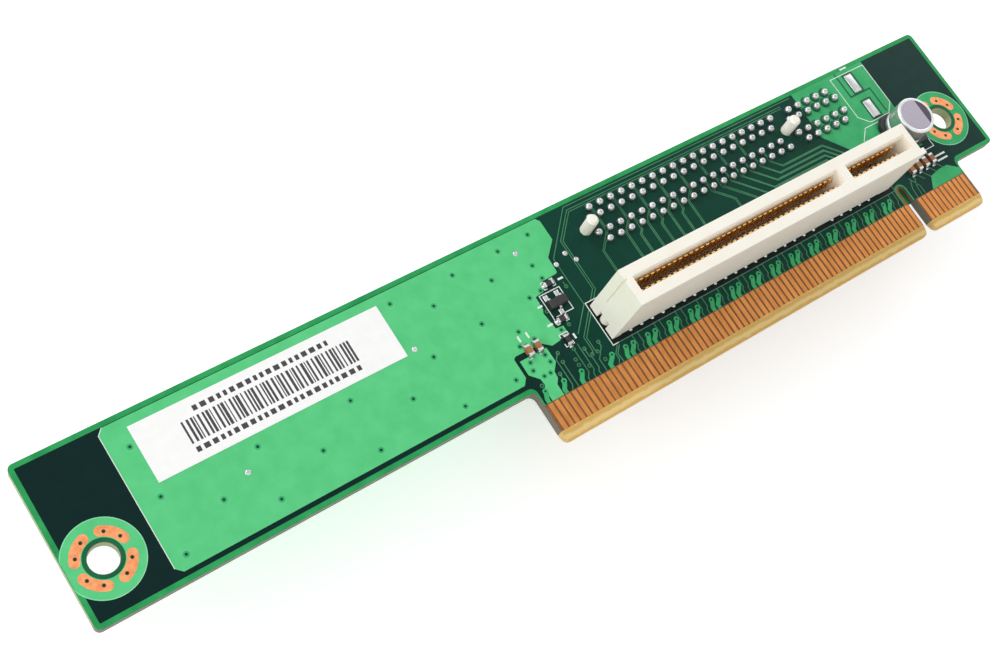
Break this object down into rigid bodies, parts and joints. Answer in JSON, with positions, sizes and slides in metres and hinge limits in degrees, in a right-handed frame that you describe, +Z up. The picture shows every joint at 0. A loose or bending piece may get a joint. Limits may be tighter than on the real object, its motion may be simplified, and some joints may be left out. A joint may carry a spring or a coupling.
{
  "type": "pcie riser card",
  "caption": "Long narrow riser card whose keyed lower tongue plugs into a server slot, with a card slot moulding on each face.",
  "frame": {"origin": "middle of the tongue's lower end edge, halfway through the board's thickness", "axes": "+X along the tongue towards its keyed short end, +Z up the board, -Y out of the front face, which carries the lower card slot"},
  "size_m": [0.1567, 0.024, 0.0303],
  "materials": {
    "laminate": "glossy solder mask",
    "gold_plate": "flash gold plating",
    "bare_copper": "bare copper with a clear finish",
    "ivory_moulding": "satin moulding",
    "gold_spring": "gold plated spring",
    "solder": "bright solder",
    "tinned_lead": "tin plating",
    "black_moulding": "matt moulding",
    "can_aluminium": "satin",
    "resistor_body": "glass coat over ceramic",
    "capacitor_ceramic": "fired ceramic",
    "label_paper": "coated paper"
  },
  "bodies": {
    "root": {"circuit_board": "laminate", "edge_fingers_front": "gold_plate", "edge_fingers_back": "gold_plate", "mounting_pads_front": "bare_copper", "mounting_pads_back": "bare_copper", "front_slot_housing": "ivory_moulding", "rear_slot_housing": "ivory_moulding", "front_slot_contacts": "gold_spring", "rear_slot_contacts": "gold_spring", "front_slot_joints": "solder", "rear_slot_joints": "solder", "capacitor_pads": "solder", "can_terminals": "tinned_lead", "can_base": "black_moulding", "capacitor_can": "can_aluminium", "transistor_body": "black_moulding", "transistor_leads": "tinned_lead", "paper_label": "label_paper", "resistor_one_body": "resistor_body", "resistor_one_ends": "tinned_lead", "resistor_two_body": "resistor_body", "resistor_two_ends": "tinned_lead", "resistor_three_body": "resistor_body", "resistor_three_ends": "tinned_lead", "capacitor_one_body": "capacitor_ceramic", "capacitor_one_ends": "tinned_lead", "capacitor_two_body": "capacitor_ceramic", "capacitor_two_ends": "tinned_lead", "capacitor_three_body": "capacitor_ceramic", "capacitor_three_ends": "tinned_lead", "capacitor_four_body": "capacitor_ceramic", "capacitor_four_ends": "tinned_lead", "capacitor_five_body": "capacitor_ceramic", "capacitor_five_ends": "tinned_lead", "capacitor_six_body": "capacitor_ceramic", "capacitor_six_ends": "tinned_lead"}
  },
  "joints": []
}
